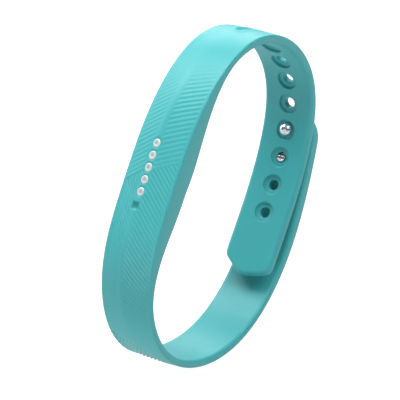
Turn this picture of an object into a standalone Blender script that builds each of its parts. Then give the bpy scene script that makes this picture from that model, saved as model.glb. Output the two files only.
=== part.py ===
"""Fitness tracker band, closed and fastened: one moulded strap with a pocket,
a stud clasp on a flexing strap end, and the slim tracker that sits in the pocket.

Frame: metres, +Z up, the ring's axis along Y, origin at the middle of the ring.
The band's course is a line in the XZ plane measured by its length S from the
free tip of the holed strap, up the right side, over the top, down the display
side, under the bottom and up again to the end of the clasp strap.
"""
import math

import bmesh
import bpy
import numpy as np
from mathutils import Vector

MM = 0.001

# ---- the band's course -------------------------------------------------------
START = (10.03, -24.39)          # outer edge line at S = 0, in mm
HEADING_STEP = 17.25              # mm of band between two headings
HEADINGS = (53.1, 56.0, 74.9, 125.0, 164.3, 207.4, 232.7, 242.0, 281.2,
            326.5, 359.6, 394.2, 419.6, 431.9, 436.4)
COURSE_STEP = 0.25                # mm, fineness of the worked-out line

# ---- the moulded strap -------------------------------------------------------
BAND_HALF_WIDTH = 5.6
HOLE_STRAP_THICK = 1.8
LOWER_STRAP_THICK = 1.5
CLASP_THICK = 2.45
HOUSING_THICK = 5.4
HOUSING_RISE = (81.0, 107.7)      # S where the housing thickens
HOUSING_FALL = (112.8, 138.5)     # S where it thins again
CLASP_RISE = (187.0, 212.0)
STRAP_CROWN = 0.2
HOUSING_CROWN = 1.1
CROWN_RISE = (74.0, 98.0)
CROWN_FALL = (122.0, 148.0)
RIDGE_Y = 0.5                     # the soft ridge lies a little off the middle
RIDGE_SOFT = 0.28
EDGE_OUT = 0.35
EDGE_IN = 0.5
TIP_S = 0.9
TIP_HALF_WIDTH = 2.7
TIP_CHAMFER = 5.2
CLASP_END_S = 230.2
HINGE_S = 202.2
HINGE_GAP = 0.35
RING_STEP = 2.3

# ---- the eight strap holes ---------------------------------------------------
HOLE_COUNT = 8
HOLE_FIRST_S = 57.8               # the topmost hole
HOLE_PITCH = 5.99
COUNTERBORE_R = 2.0
COUNTERBORE_DEPTH = 0.8
BORE_R = 1.05
BALL_HOLE = 4
PIN_HOLE = 5
BALL_BORE_R = 1.75
PIN_BORE_R = 1.25

# ---- the clasp ---------------------------------------------------------------
PLATE_LENGTH = 11.0
PLATE_WIDTH = 5.0
PLATE_THICK = 0.8
PLATE_GAP = 0.3
POST_R = 0.75
BALL_R = 1.4
PIN_R = 0.92

# ---- the tracker and its pocket ------------------------------------------------
TRACKER_S = 106.75                # S where the tracker's heading is taken
TRACKER_SHIFT = 2.25              # from there to the tracker's middle
TRACKER_HEADING = 235.0
TRACKER_FACE_DEPTH = 5.0          # skin face below the outer edge line
TRACKER_HALF_LENGTH = 14.2
TRACKER_HALF_WIDTH = 4.1
TRACKER_HEIGHT = 4.3
TRACKER_ARCH_R = 75.0
TRACKER_END_R = 3.3
TRACKER_WALL = 0.6
FIT_GAP = 0.3
BASE_TOP = 1.5
SEAL_LOW = 1.65
SEAL_HIGH = 1.85
TOP_LOW = 2.0
FLOOR = 0.55

# ---- lights ------------------------------------------------------------------
LIGHT_COUNT = 5
LIGHT_PITCH = 2.39
WINDOW_R = 0.95
WINDOW_HOLE_R = 1.15
RECESS_U = 7.25
RECESS_SIZE = 1.5
PIP_R = 0.4
PIP_HOLE_R = 0.65

# ---- charging contacts -------------------------------------------------------
CONTACT_U = (-11.0, -8.6, -6.2)
CONTACT_R = 0.6
CONTACT_HOLE_R = 0.85

# ---- vibration motor ---------------------------------------------------------
MOTOR_U = 9.4
MOTOR_R = 2.9
MOTOR_LOW = 0.9
MOTOR_HIGH = 2.4
ROTOR_R = 2.25
PIN_SHAFT_R = 0.35
ROTOR_BORE_R = 0.43

for old in list(bpy.data.objects):
    bpy.data.objects.remove(old, do_unlink=True)


# ---- small helpers -----------------------------------------------------------
def smooth(value, low, high):
    """Smooth step from 0 at low to 1 at high."""
    x = min(max((value - low) / (high - low), 0.0), 1.0)
    return x * x * (3.0 - 2.0 * x)


def heading_at(s):
    """Heading of the course in radians, a smooth curve through HEADINGS."""
    first, last = HEADINGS[0], HEADINGS[-1]
    h = (2 * first - HEADINGS[1],) + HEADINGS + (2 * last - HEADINGS[-2],)
    x = s / HEADING_STEP
    i = min(max(int(math.floor(x)), 0), len(HEADINGS) - 2)
    t = x - i
    a, b, c, d = h[i], h[i + 1], h[i + 2], h[i + 3]
    turn = 2 * b + (c - a) * t
    turn += (2 * a - 5 * b + 4 * c - d) * t * t
    turn += (3 * b - a - 3 * c + d) * t ** 3
    return math.radians(0.5 * turn)


def work_out_course():
    """Points of the outer edge line every COURSE_STEP of length."""
    count = int(HEADING_STEP * (len(HEADINGS) - 1) / COURSE_STEP)
    points = [START]
    for i in range(count):
        mid = heading_at((i + 0.5) * COURSE_STEP)
        x, z = points[-1]
        points.append((x + COURSE_STEP * math.cos(mid), z + COURSE_STEP * math.sin(mid)))
    return np.array(points)


COURSE = work_out_course()


def at(s):
    """Outer edge point, direction of travel and outward normal at S."""
    x = s / COURSE_STEP
    i = min(max(int(x), 0), len(COURSE) - 2)
    p = COURSE[i] + (COURSE[i + 1] - COURSE[i]) * (x - i)
    h = heading_at(s)
    along = Vector((math.cos(h), 0.0, math.sin(h)))
    out = Vector((math.sin(h), 0.0, -math.cos(h)))
    return Vector((p[0], 0.0, p[1])), along, out


def thickness(s):
    """Strap thickness at S, thick at the housing and at the clasp."""
    bump = smooth(s, *HOUSING_RISE) * (1 - smooth(s, *HOUSING_FALL))
    base = HOLE_STRAP_THICK
    base += (LOWER_STRAP_THICK - HOLE_STRAP_THICK) * smooth(s, HOUSING_RISE[1], HOUSING_FALL[0])
    middle = 0.5 * (HOLE_STRAP_THICK + LOWER_STRAP_THICK)
    clasp = (CLASP_THICK - LOWER_STRAP_THICK) * smooth(s, *CLASP_RISE)
    return base + (HOUSING_THICK - middle) * bump + clasp


def crown(s):
    """Height of the ridge above the outer edges at S."""
    bump = smooth(s, *CROWN_RISE) * (1 - smooth(s, *CROWN_FALL))
    return STRAP_CROWN + (HOUSING_CROWN - STRAP_CROWN) * bump


def ridge_height(y, half_width, height):
    """Two faces that meet in a soft ridge: height 1 at RIDGE_Y, 0 at the edges."""
    reach = half_width - RIDGE_Y if y > RIDGE_Y else half_width + RIDGE_Y
    x = (y - RIDGE_Y) / reach
    k = RIDGE_SOFT
    fall = math.sqrt(1 + k * k) - math.sqrt(x * x + k * k)
    return height * fall / (math.sqrt(1 + k * k) - k)


class Placed:
    """A local frame: u along, y across, n outward, in mm."""

    def __init__(self, origin, along, out):
        self.origin = origin
        self.along = along
        self.out = out

    def __call__(self, u, y, n):
        p = self.origin + self.along * u + self.out * n
        return Vector((p.x, y, p.z))


def new_material(name, colour, rough, metal=0.0):
    mat = bpy.data.materials.new(name)
    mat.use_nodes = True
    shader = mat.node_tree.nodes["Principled BSDF"]
    shader.inputs["Base Color"].default_value = (*colour, 1.0)
    shader.inputs["Roughness"].default_value = rough
    shader.inputs["Metallic"].default_value = metal
    return mat


def finish(name, verts, faces, mat, origin=None, smooth_angle=None):
    """Make one object from points in mm, its origin moved to a joint's axis."""
    shift = origin if origin is not None else Vector((0.0, 0.0, 0.0))
    mesh = bpy.data.meshes.new(name)
    mesh.from_pydata([tuple((v - shift) * MM) for v in verts], [], faces)
    shell = bmesh.new()
    shell.from_mesh(mesh)
    bmesh.ops.recalc_face_normals(shell, faces=shell.faces)
    shell.to_mesh(mesh)
    shell.free()
    ob = bpy.data.objects.new(name, mesh)
    bpy.context.collection.objects.link(ob)
    ob.location = shift * MM
    if mat is not None:
        mesh.materials.append(mat)
    if smooth_angle is not None:
        soften(ob, smooth_angle)
    return ob


def soften(ob, angle):
    ob.data.shade_smooth()
    ob.data.set_sharp_from_angle(angle=math.radians(angle))


def cut(ob, cutter):
    """Take one closed shape out of another for good."""
    mod = ob.modifiers.new("cut", "BOOLEAN")
    mod.operation = "DIFFERENCE"
    mod.solver = "EXACT"
    mod.object = cutter
    bpy.context.view_layer.update()
    graph = bpy.context.evaluated_depsgraph_get()
    result = bpy.data.meshes.new_from_object(ob.evaluated_get(graph))
    ob.modifiers.remove(mod)
    ob.data = result
    bpy.data.objects.remove(cutter, do_unlink=True)


def loft(rings):
    """Points and faces of a skin through rings of equal length, capped."""
    verts = [v for ring in rings for v in ring]
    m = len(rings[0])
    faces = []
    for i in range(len(rings) - 1):
        for j in range(m):
            k = (j + 1) % m
            faces.append((i * m + j, i * m + k, (i + 1) * m + k, (i + 1) * m + j))
    faces.append(tuple(range(m)))
    faces.append(tuple(range((len(rings) - 1) * m, len(rings) * m)))
    return verts, faces


def turned(place, u, y, profile, segments=24):
    """A closed turned shape about the outward axis through (u, y).

    profile is a list of (radius, n) from one end of the axis to the other.
    """
    rings = []
    for radius, n in profile:
        ring = []
        for i in range(segments):
            a = 2 * math.pi * (i + 0.5) / segments
            ring.append(place(u + radius * math.cos(a), y + radius * math.sin(a), n))
        rings.append(ring)
    return loft(rings)


def join(*shapes):
    """Several closed shapes as one list of points and faces."""
    verts, faces = [], []
    for v, f in shapes:
        base = len(verts)
        verts += v
        faces += [tuple(i + base for i in face) for face in f]
    return verts, faces


def block(place, u, y, n, size, corner=0.0):
    """A box, its corners in plan cut off when corner is given."""
    a, b = size[0] / 2, size[1] / 2
    c = corner
    if c > 0:
        plan = [(a, -b + c), (a, b - c), (a - c, b), (c - a, b),
                (-a, b - c), (-a, c - b), (c - a, -b), (a - c, -b)]
    else:
        plan = [(a, -b), (a, b), (-a, b), (-a, -b)]
    low = [place(u + p, y + q, n) for p, q in plan]
    high = [place(u + p, y + q, n + size[2]) for p, q in plan]
    return loft([low, high])


# ---- the strap's cross-section -----------------------------------------------
def band_ring(s, half_width, thick, height, out_r, in_r):
    """One ring of the strap at S: crowned outside, flat inside, rounded edges."""
    p, _, out = at(s)
    w = half_width
    section = []
    for k in range(9):
        y = -(w - out_r) + 2 * (w - out_r) * k / 8
        section.append((y, ridge_height(y, w, height)))
    section.append((w - 0.3 * out_r, -0.3 * out_r))
    section.append((w, -out_r))
    section.append((w, in_r - thick))
    section.append((w - 0.3 * in_r, 0.3 * in_r - thick))
    section.append((w - in_r, -thick))
    section.append((0.0, -thick))
    section.append((in_r - w, -thick))
    section.append((0.3 * in_r - w, 0.3 * in_r - thick))
    section.append((-w, in_r - thick))
    section.append((-w, -out_r))
    section.append((0.3 * out_r - w, -0.3 * out_r))
    ring = []
    for y, n in section:
        q = p + out * n
        ring.append(Vector((q.x, y, q.z)))
    return ring


def tip_half_width(s):
    """The free tip narrows over a straight chamfer to a blunt end."""
    x = min(max((s - TIP_S) / TIP_CHAMFER, 0.0), 1.0)
    return TIP_HALF_WIDTH + (BAND_HALF_WIDTH - TIP_HALF_WIDTH) * min(1.0, 1.12 * x)


def clasp_half_width(s):
    """The clasp strap ends in a half circle."""
    r = BAND_HALF_WIDTH
    x = s - (CLASP_END_S - r)
    if x <= 0:
        return r
    return math.sqrt(max(r * r - x * x, 0.04 * r * r))


# ---- local frames ------------------------------------------------------------
def tracker_frame():
    """Origin in the middle of the tracker's skin face."""
    h = math.radians(TRACKER_HEADING)
    along = Vector((math.cos(h), 0.0, math.sin(h)))
    out = Vector((math.sin(h), 0.0, -math.cos(h)))
    edge = at(TRACKER_S)[0]
    return Placed(edge + along * TRACKER_SHIFT - out * TRACKER_FACE_DEPTH, along, out)


def hole_s(i):
    return HOLE_FIRST_S - HOLE_PITCH * i


def clasp_frame():
    """Origin midway between the two studs, in the holed strap's middle surface."""
    mids = []
    for i in (BALL_HOLE, PIN_HOLE):
        p, _, out = at(hole_s(i))
        mids.append(p - out * (0.5 * HOLE_STRAP_THICK))
    ball, pin = mids
    along = (ball - pin).normalized()
    out = Vector((along.z, 0.0, -along.x))
    return Placed((ball + pin) / 2, along, out), 0.5 * (ball - pin).length


TRACKER = tracker_frame()
CLASP, STUD_U = clasp_frame()
HINGE_POINT, _, HINGE_OUT = at(HINGE_S)
HINGE = HINGE_POINT - HINGE_OUT * (0.5 * thickness(HINGE_S))


def clasp_outer():
    """Height of the clasp strap's outer face over the clasp frame's origin."""
    best = min(range(len(COURSE)), key=lambda i: abs(
        (Vector((COURSE[i][0], 0, COURSE[i][1])) - CLASP.origin).dot(CLASP.along))
        + (1000 if i * COURSE_STEP < HINGE_S else 0))
    p = Vector((COURSE[best][0], 0.0, COURSE[best][1]))
    return (p - CLASP.origin).dot(CLASP.out)


CLASP_OUTER = clasp_outer()
PLATE_LOW = CLASP_OUTER - PLATE_THICK


# ---- the moulded strap -------------------------------------------------------
def band_body(mat):
    """Holed strap, top, tracker housing and lower strap in one moulding."""
    end = HINGE_S - 0.5 * thickness(HINGE_S) - HINGE_GAP
    rings = [band_ring(TIP_S, TIP_HALF_WIDTH - 0.35, 1.1, 0.05, 0.25, 0.3)]
    stations = [TIP_S + 0.3, TIP_S + 1.5, TIP_S + 3.0, TIP_S + 4.6, TIP_S + 5.6]
    count = int(round((end - stations[-1]) / RING_STEP))
    step = (end - stations[-1]) / count
    stations += [stations[-1] + step * (i + 1) for i in range(count)]
    for s in stations:
        w = tip_half_width(s)
        rings.append(band_ring(s, w, thickness(s), crown(s), EDGE_OUT, EDGE_IN))
    ob = finish("band_body", *loft(rings), mat)
    cut(ob, hole_cutter())
    cut(ob, window_cutter())
    cut(ob, pocket_cutter())
    soften(ob, 35)
    return ob


def pocket_cutter():
    rings = tracker_rings(-FIT_GAP, -4.0, None, FIT_GAP)
    return finish("pocket_space", *loft(rings), None)


def window_cutter():
    """Five round holes to the pocket and the small square recess below them."""
    shapes = []
    for i in range(LIGHT_COUNT):
        u = light_u(i)
        shapes.append(turned(TRACKER, u, RIDGE_Y, [(WINDOW_HOLE_R, 4.0), (WINDOW_HOLE_R, 9.0)]))
    top = outer_over(RECESS_U)
    shapes.append(block(TRACKER, RECESS_U, RIDGE_Y, top - 0.35, (RECESS_SIZE, RECESS_SIZE, 2.0), 0.3))
    return finish("window_space", *join(*shapes), None)


def hole_cutter():
    """Eight stepped holes, wide on the skin side and narrow through the strap."""
    shapes = []
    for i in range(HOLE_COUNT):
        p, along, out = at(hole_s(i))
        place = Placed(p, along, out)
        bore = BORE_R
        if i == BALL_HOLE:
            bore = BALL_BORE_R
        if i == PIN_HOLE:
            bore = PIN_BORE_R
        floor = COUNTERBORE_DEPTH - HOLE_STRAP_THICK
        profile = [(COUNTERBORE_R, -4.0), (COUNTERBORE_R, floor), (bore, floor), (bore, 3.0)]
        shapes.append(turned(place, 0.0, 0.0, profile, 28))
    return finish("hole_space", *join(*shapes), None)


def light_u(i):
    return (i - (LIGHT_COUNT - 1) / 2) * LIGHT_PITCH


def outer_over(u):
    """Height of the band's outer ridge above the tracker's skin face at u."""
    best = min(range(len(COURSE)), key=lambda i: abs(
        (Vector((COURSE[i][0], 0, COURSE[i][1])) - TRACKER(u, 0, TRACKER_FACE_DEPTH)).length))
    s = best * COURSE_STEP
    p, _, out = at(s)
    return (p + out * crown(s) - TRACKER.origin).dot(TRACKER.out)


def clasp_strap(mat):
    """The flexing strap end with a bed for the plate and two post holes."""
    t0 = thickness(HINGE_S)
    rings = []
    for k, share in ((-0.5, 0.5), (-0.35, 0.86)):
        s = HINGE_S + k * t0
        rings.append(hinge_ring(s, share))
    stations = [HINGE_S]
    straight = CLASP_END_S - BAND_HALF_WIDTH
    count = int(round((straight - HINGE_S) / RING_STEP))
    stations += [HINGE_S + (straight - HINGE_S) * (i + 1) / count for i in range(count)]
    for k in range(1, 8):
        stations.append(straight + BAND_HALF_WIDTH * math.sin(math.radians(11.5 * k)))
    for s in stations:
        rings.append(band_ring(s, clasp_half_width(s), thickness(s), crown(s), EDGE_OUT, EDGE_IN))
    last = CLASP_END_S
    rings.append(band_ring(last, 0.8, 1.5, 0.0, 0.2, 0.2))
    ob = finish("clasp_strap", *loft(rings), mat, HINGE)
    cut(ob, plate_bed_cutter())
    cut(ob, post_hole_cutter())
    soften(ob, 35)
    return ob


def hinge_ring(s, share):
    """A thinner ring at the strap's rounded root, centred on the flex line."""
    full = thickness(HINGE_S)
    thin = full * share
    ring = band_ring(s, BAND_HALF_WIDTH - 0.15, thin, 0.0, 0.2, 0.2)
    _, _, out = at(s)
    return [v - out * (0.5 * (full - thin)) for v in ring]


def plate_plan(length, width, count=7):
    """Half of a capsule outline as (u, half width) pairs, end to end."""
    r = width / 2
    pairs = []
    for k in range(count):
        a = math.radians(8 + 82 * k / (count - 1))
        pairs.append((r - length / 2 - r * math.cos(a), r * math.sin(a)))
    return pairs + [(-u, w) for u, w in reversed(pairs)]


def capsule(place, length, width, low, high, edge=0.0):
    """A flat capsule lying in the u direction, its outer rim chamfered."""
    rings = []
    for u, w in plate_plan(length, width):
        e = min(edge, 0.5 * w)
        right = [(w, low), (w, high - edge), (w - e, high)]
        left = [(e - w, high), (-w, high - edge), (-w, low)]
        rings.append([place(u, y, n) for y, n in right + left])
    return loft(rings)


def plate_bed_cutter():
    g = PLATE_GAP
    shape = capsule(CLASP, PLATE_LENGTH + 2 * g, PLATE_WIDTH + 2 * g, PLATE_LOW - g, CLASP_OUTER + 3)
    return finish("plate_space", *shape, None)


def post_hole_cutter():
    profile = [(POST_R + 0.3, 0.0), (POST_R + 0.3, PLATE_LOW + 0.2)]
    shapes = [turned(CLASP, u, 0.0, profile) for u in (STUD_U, -STUD_U)]
    return finish("post_space", *join(*shapes), None)


# ---- the clasp's metal -------------------------------------------------------
def clasp_plate(mat):
    shape = capsule(CLASP, PLATE_LENGTH, PLATE_WIDTH, PLATE_LOW, CLASP_OUTER, 0.2)
    return finish("clasp_plate", *shape, mat, HINGE, 30)


def clasp_stud_ball(mat):
    """A post with a ball that shows inside the fifth hole."""
    centre = 0.35 - 0.5 * HOLE_STRAP_THICK
    profile = [(0.25, centre - BALL_R)]
    for k in range(1, 9):
        a = math.radians(-90 + 18.5 * k)
        profile.append((BALL_R * math.cos(a), centre + BALL_R * math.sin(a)))
    profile.append((POST_R, centre + 1.22))
    profile.append((POST_R, PLATE_LOW - 0.15))
    shape = turned(CLASP, STUD_U, 0.0, profile, 28)
    return finish("clasp_stud_ball", *shape, mat, HINGE, 40)


def clasp_stud_pin(mat):
    """A shorter grooved post that shows deep inside the sixth hole."""
    top = -0.25
    profile = [(PIN_R - 0.3, top), (PIN_R, top + 0.2), (PIN_R, top + 0.55),
               (PIN_R - 0.2, top + 0.6), (PIN_R - 0.2, top + 0.8), (PIN_R, top + 0.85),
               (PIN_R, top + 1.1), (POST_R, top + 1.15), (POST_R, PLATE_LOW - 0.15)]
    shape = turned(CLASP, -STUD_U, 0.0, profile)
    return finish("clasp_stud_pin", *shape, mat, HINGE, 40)


# ---- light windows -----------------------------------------------------------
def light_window(i, mat):
    """A clear plug, slightly domed, flush with the ridge."""
    u = light_u(i)
    top = outer_over(u) - 0.12
    low = top_height(u) + FIT_GAP + 0.15
    profile = [(WINDOW_R, low), (WINDOW_R, top - 0.2), (0.75 * WINDOW_R, top - 0.06),
               (0.35 * WINDOW_R, top)]
    shape = turned(TRACKER, u, RIDGE_Y, profile, 20)
    return finish("light_window_%d" % (i + 1), *shape, mat, None, 50)


# ---- the tracker's case ------------------------------------------------------
def top_height(u):
    """The case's arched outer face."""
    return TRACKER_HEIGHT - u * u / (2 * TRACKER_ARCH_R)


def tracker_half_width(u, inset):
    """Plan of the case: straight sides and rounded ends."""
    end = TRACKER_HALF_LENGTH - inset
    w = TRACKER_HALF_WIDTH - inset
    r = max(TRACKER_END_R - inset, 0.4)
    x = abs(u) - (end - r)
    if x <= 0:
        return w
    return w - r + math.sqrt(max(r * r - x * x, 0.0))


def tracker_rings(inset, low, high, raise_by=0.0, chamfer=0.0):
    """Rings of the case's plan; the top follows the arch when high is None."""
    end = TRACKER_HALF_LENGTH - inset
    r = max(TRACKER_END_R - inset, 0.4)
    half = [end - r * (1 - math.cos(math.radians(a))) for a in (0, 15, 32, 50, 70, 90)]
    half += [(end - r) * k / 3 for k in (2, 1)]
    stations = [-u for u in half] + [0.0] + half[::-1]
    rings = []
    for u in stations:
        w = tracker_half_width(u, inset)
        top = top_height(u) + raise_by if high is None else high
        c = chamfer
        section = [(-w, low), (w, low), (w, top - c), (w - c, top), (c - w, top), (-w, top - c)]
        if c == 0:
            section = [(-w, low), (w, low), (w, top), (-w, top)]
        rings.append([TRACKER(u, y, n) for y, n in section])
    return rings


def tracker_top_shell(mat):
    ob = finish("tracker_top_shell", *loft(tracker_rings(0, TOP_LOW, None, 0.0, 0.5)), mat,
                TRACKER.origin)
    holes = []
    for i in range(LIGHT_COUNT):
        profile = [(PIP_HOLE_R, TRACKER_HEIGHT - 1.4), (PIP_HOLE_R, TRACKER_HEIGHT + 1)]
        holes.append(turned(TRACKER, light_u(i), RIDGE_Y, profile, 16))
    cut(ob, finish("pip_space", *join(*holes), None))
    inner = tracker_rings(TRACKER_WALL, -1.0, None, -TRACKER_WALL)
    cut(ob, finish("top_space", *loft(inner), None))
    soften(ob, 30)
    return ob


def tracker_base_shell(mat):
    """The skin-side half: a shallow tray with three contact holes."""
    rings = tracker_rings(0, 0.0, BASE_TOP)
    ob = finish("tracker_base_shell", *loft(rings), mat, TRACKER.origin)
    holes = []
    for u in CONTACT_U:
        holes.append(turned(TRACKER, u, 0.0, [(CONTACT_HOLE_R, -1.0), (CONTACT_HOLE_R, 1.0)], 20))
    cut(ob, finish("contact_space", *join(*holes), None))
    cut(ob, finish("base_space", *loft(tracker_rings(TRACKER_WALL, FLOOR, 6.0)), None))
    soften(ob, 30)
    return ob


def tracker_seal(mat):
    """The thin gasket between the two halves."""
    ob = finish("tracker_seal", *loft(tracker_rings(0.12, SEAL_LOW, SEAL_HIGH)), mat,
                TRACKER.origin)
    cut(ob, finish("seal_space", *loft(tracker_rings(0.5, SEAL_LOW - 1, SEAL_HIGH + 1)), None))
    soften(ob, 30)
    return ob


def charge_contact(i, mat):
    profile = [(CONTACT_R, 0.06), (CONTACT_R, 0.6), (0.75 * CONTACT_R, 0.65)]
    shape = turned(TRACKER, CONTACT_U[i], 0.0, profile, 16)
    return finish("charge_contact_%d" % (i + 1), *shape, mat, TRACKER.origin, 40)


# ---- inside the tracker ------------------------------------------------------
def inner_block(name, u, y, n, size, mat, corner=0.0):
    return finish(name, *block(TRACKER, u, y, n, size, corner), mat, TRACKER.origin)


def light_guide(mat):
    """A clear bar with five pips that reach into the case."""
    bar = block(TRACKER, 0.0, RIDGE_Y, 3.05, (4 * LIGHT_PITCH + 1.6, 1.0, 0.3))
    ob = finish("light_guide", *bar, mat, TRACKER.origin)
    for i in range(LIGHT_COUNT):
        tall = top_height(light_u(i)) - 0.25
        pip = turned(TRACKER, light_u(i), RIDGE_Y, [(PIP_R, 3.2), (PIP_R, tall)], 12)
        add(ob, finish("pip", *pip, None))
    return ob


def add(ob, other):
    """Grow one closed shape by another for good."""
    mod = ob.modifiers.new("add", "BOOLEAN")
    mod.operation = "UNION"
    mod.solver = "EXACT"
    mod.object = other
    bpy.context.view_layer.update()
    graph = bpy.context.evaluated_depsgraph_get()
    result = bpy.data.meshes.new_from_object(ob.evaluated_get(graph))
    ob.modifiers.remove(mod)
    ob.data = result
    bpy.data.objects.remove(other, do_unlink=True)


def motor_base(mat):
    """A thin disc with the fixed pin the weight turns on."""
    low = MOTOR_LOW
    profile = [(2.3, low), (2.3, low + 0.2), (0.5, low + 0.22), (0.5, low + 0.4),
               (PIN_SHAFT_R, low + 0.41), (PIN_SHAFT_R, low + 1.08)]
    return finish("motor_base", *turned(TRACKER, MOTOR_U, 0.0, profile), mat,
                  TRACKER(MOTOR_U, 0, low), 40)


def motor_rotor(mat):
    """An off-centre weight that hangs toward the lower end at rest."""
    low, high = MOTOR_LOW + 0.5, MOTOR_LOW + 0.9
    outline = []
    for k in range(15):
        a = math.radians(-98 + 14 * k)
        outline.append((ROTOR_R * math.cos(a), ROTOR_R * math.sin(a)))
    for k in range(7):
        a = math.radians(110 + 23.3 * k)
        outline.append((0.85 * math.cos(a), 0.85 * math.sin(a)))
    bottom = [TRACKER(MOTOR_U + p, q, low) for p, q in outline]
    top = [TRACKER(MOTOR_U + p, q, high) for p, q in outline]
    ob = finish("motor_rotor", *loft([bottom, top]), mat, TRACKER(MOTOR_U, 0, low))
    bore = turned(TRACKER, MOTOR_U, 0.0, [(ROTOR_BORE_R, low - 1), (ROTOR_BORE_R, high + 1)], 24)
    cut(ob, finish("rotor_space", *bore, None))
    soften(ob, 30)
    return ob


def motor_cover(mat):
    """The motor's drawn can, open below round the base disc."""
    outer = turned(TRACKER, MOTOR_U, 0.0, [(MOTOR_R, MOTOR_LOW), (MOTOR_R, MOTOR_HIGH - 0.15),
                                           (MOTOR_R - 0.15, MOTOR_HIGH)], 32)
    ob = finish("motor_cover", *outer, mat, TRACKER(MOTOR_U, 0, MOTOR_LOW))
    inner = turned(TRACKER, MOTOR_U, 0.0, [(MOTOR_R - 0.27, MOTOR_LOW - 1),
                                           (MOTOR_R - 0.27, MOTOR_HIGH - 0.25)], 32)
    cut(ob, finish("cover_space", *inner, None))
    soften(ob, 30)
    return ob


def build():
    rubber = new_material("teal_rubber", (0.10, 0.47, 0.47), 0.45)
    steel = new_material("polished_steel", (0.78, 0.78, 0.80), 0.12, 1.0)
    brushed = new_material("brushed_steel", (0.62, 0.62, 0.64), 0.3, 1.0)
    clear = new_material("white_window", (0.93, 0.95, 0.96), 0.15)
    black = new_material("black_shell", (0.02, 0.02, 0.022), 0.4)
    grey = new_material("grey_shell", (0.05, 0.05, 0.055), 0.35)
    seal = new_material("seal_rubber", (0.015, 0.015, 0.015), 0.7)
    board = new_material("board_green", (0.02, 0.12, 0.06), 0.4)
    cell = new_material("cell_foil", (0.55, 0.56, 0.58), 0.35, 0.8)
    foam = new_material("foam_grey", (0.12, 0.12, 0.12), 0.9)
    chip = new_material("chip_black", (0.03, 0.03, 0.03), 0.5)
    can = new_material("shield_tin", (0.66, 0.66, 0.64), 0.3, 1.0)
    gold = new_material("contact_gold", (0.85, 0.62, 0.25), 0.2, 1.0)
    led = new_material("led_white", (0.9, 0.9, 0.82), 0.3)
    dense = new_material("weight_tungsten", (0.35, 0.35, 0.37), 0.45, 1.0)
    copper = new_material("antenna_copper", (0.75, 0.38, 0.2), 0.35, 1.0)

    band_body(rubber)
    clasp_strap(rubber)
    clasp_plate(brushed)
    clasp_stud_ball(steel)
    clasp_stud_pin(steel)
    for i in range(LIGHT_COUNT):
        light_window(i, clear)

    tracker_top_shell(black)
    tracker_base_shell(grey)
    tracker_seal(seal)
    for i in range(3):
        charge_contact(i, gold)
    inner_block("battery_pad", -4.2, 0.0, 0.7, (13.0, 4.6, 0.18), foam)
    inner_block("battery", -3.4, 0.0, 1.05, (18.4, 5.8, 1.0), cell, 0.5)
    inner_block("circuit_board", -1.1, 0.0, 2.2, (14.2, 6.0, 0.3), board, 0.6)
    for i in range(LIGHT_COUNT):
        inner_block("led_%d" % (i + 1), light_u(i), RIDGE_Y, 2.6, (0.9, 0.6, 0.3), led)
    light_guide(clear)
    inner_block("processor", -0.2, -1.75, 2.6, (3.0, 1.9, 0.4), chip)
    inner_block("radio_chip", -4.2, -1.75, 2.6, (2.2, 1.9, 0.4), can)
    inner_block("memory_chip", 3.6, -1.75, 2.6, (2.0, 1.6, 0.4), chip)
    inner_block("motion_sensor", -4.0, 2.15, 2.6, (1.8, 1.3, 0.4), chip)
    inner_block("charge_chip", -0.6, 2.15, 2.6, (1.6, 1.3, 0.35), chip)
    inner_block("crystal", 2.6, 2.15, 2.6, (1.6, 1.0, 0.3), can)
    inner_block("antenna", -10.8, 0.0, 2.22, (3.6, 4.2, 0.15), copper, 0.4)
    motor_base(brushed)
    motor_rotor(dense)
    motor_cover(steel)


build()
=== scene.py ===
# %% [markdown]
# # A fitness band, fastened into a ring
# This lesson dresses a ready-made frame of solids as the real object: one soft
# moulded strap with fine ribs, five light beads in its ridge, a steel stud clasp
# and a slim tracker that sits in a pocket behind the ribs.
#
# The solids give the size and the moving bodies. They are loaded first, and their
# box is kept.

# %% Load the frame
import math

import bmesh
import bpy
import numpy as np
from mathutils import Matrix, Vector


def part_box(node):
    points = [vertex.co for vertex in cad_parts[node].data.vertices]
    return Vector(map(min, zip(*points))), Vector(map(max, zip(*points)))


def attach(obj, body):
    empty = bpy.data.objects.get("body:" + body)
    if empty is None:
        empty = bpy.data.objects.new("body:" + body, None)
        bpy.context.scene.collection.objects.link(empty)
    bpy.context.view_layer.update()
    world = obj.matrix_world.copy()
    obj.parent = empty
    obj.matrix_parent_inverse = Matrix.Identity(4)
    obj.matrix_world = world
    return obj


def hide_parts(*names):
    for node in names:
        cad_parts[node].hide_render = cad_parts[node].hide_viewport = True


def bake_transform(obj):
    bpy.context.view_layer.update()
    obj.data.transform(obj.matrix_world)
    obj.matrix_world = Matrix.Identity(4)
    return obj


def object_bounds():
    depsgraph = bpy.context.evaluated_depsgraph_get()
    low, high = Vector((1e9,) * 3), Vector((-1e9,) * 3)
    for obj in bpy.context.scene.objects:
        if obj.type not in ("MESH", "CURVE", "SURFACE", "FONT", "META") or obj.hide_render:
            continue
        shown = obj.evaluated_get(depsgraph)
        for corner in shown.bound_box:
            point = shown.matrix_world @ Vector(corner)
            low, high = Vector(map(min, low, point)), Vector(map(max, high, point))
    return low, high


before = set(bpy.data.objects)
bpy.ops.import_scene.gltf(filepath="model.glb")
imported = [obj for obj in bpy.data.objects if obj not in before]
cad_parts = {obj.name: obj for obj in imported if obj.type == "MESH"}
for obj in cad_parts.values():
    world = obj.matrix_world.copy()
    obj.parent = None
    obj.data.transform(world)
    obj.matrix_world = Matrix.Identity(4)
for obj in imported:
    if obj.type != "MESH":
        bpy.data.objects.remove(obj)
cad_low, cad_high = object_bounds()
MM = 0.001

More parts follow.
